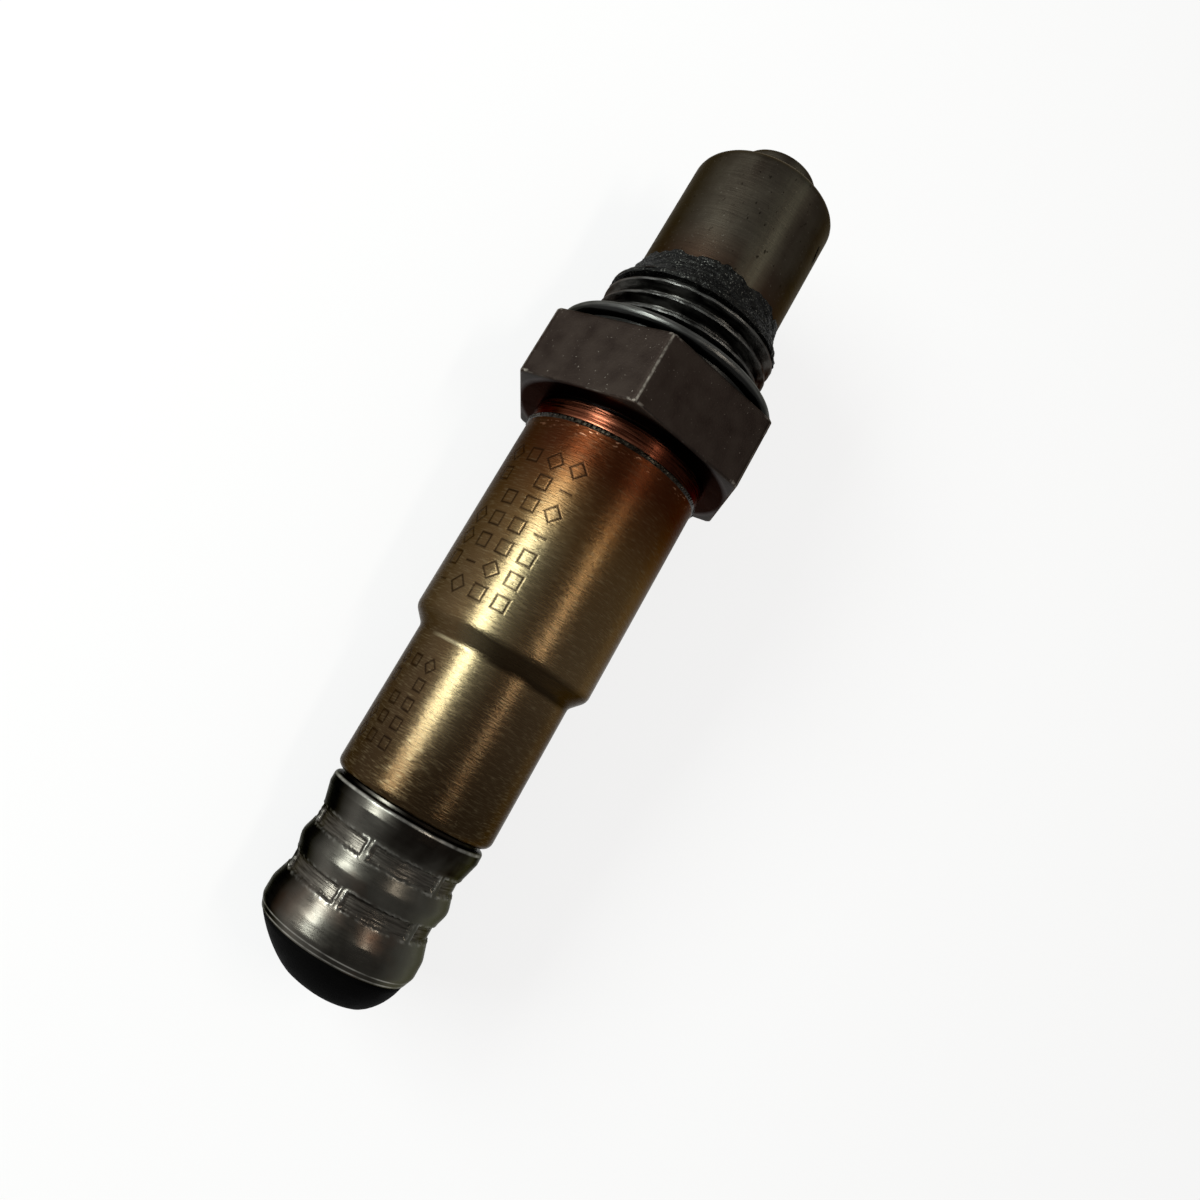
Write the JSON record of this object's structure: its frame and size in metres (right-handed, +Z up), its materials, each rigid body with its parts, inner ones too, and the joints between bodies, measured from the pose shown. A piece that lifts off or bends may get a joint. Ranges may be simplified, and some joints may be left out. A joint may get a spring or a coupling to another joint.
{
  "type": "oxygen sensor",
  "caption": "Exhaust oxygen sensor without its lead: vented nose tube, threaded hexagon housing with gasket, tinted sleeve, crimped cable end with rubber grommet",
  "frame": {"origin": "On the surface that the sensor lies on, under the middle of its bounding box.", "axes": "+Z up. +X along the sensor towards its nose, seen from above. The sensor lies on one flat of its hexagon and on the barrel of its crimp sleeve, so its axis rises 4.2 degrees towards the nose."},
  "size_m": [0.0884, 0.0252, 0.0229],
  "materials": {
    "protection_tube_steel": "dark brown-olive heat oxide, satin",
    "housing_steel": "dark brown heat oxide, matt, worn along its corners",
    "gasket_steel": "dark grey, dull, with bright rubbed rims",
    "weld_steel": "grey weld bead",
    "sleeve_steel": "heat tinted copper to gold, fine cross grain",
    "crimp_steel": "bright, pressed",
    "spring_steel": "bright",
    "contact_alloy": "bright nickel alloy",
    "steatite": "off-white, matt",
    "element_ceramic": "white, fine, matt",
    "packing_powder": "grey-green pressed powder",
    "spacer_polymer": "white, smooth",
    "grommet_rubber": "black, smooth"
  },
  "bodies": {
    "root": {"outer_protection_tube": "protection_tube_steel", "inner_protection_tube": "protection_tube_steel", "housing": "housing_steel", "sealing_ring": "gasket_steel", "sleeve_weld": "weld_steel", "protective_sleeve": "sleeve_steel", "crimp_sleeve": "crimp_steel", "grommet": "grommet_rubber", "sensor_element": "element_ceramic", "front_ceramic": "steatite", "seal_packing": "packing_powder", "rear_ceramic": "steatite", "press_ring": "spring_steel", "contact_holder_upper": "steatite", "contact_holder_lower": "steatite", "contact_1": "contact_alloy", "contact_2": "contact_alloy", "contact_3": "contact_alloy", "contact_4": "contact_alloy", "holder_spring": "spring_steel", "lead_spacer": "spacer_polymer"}
  },
  "joints": []
}
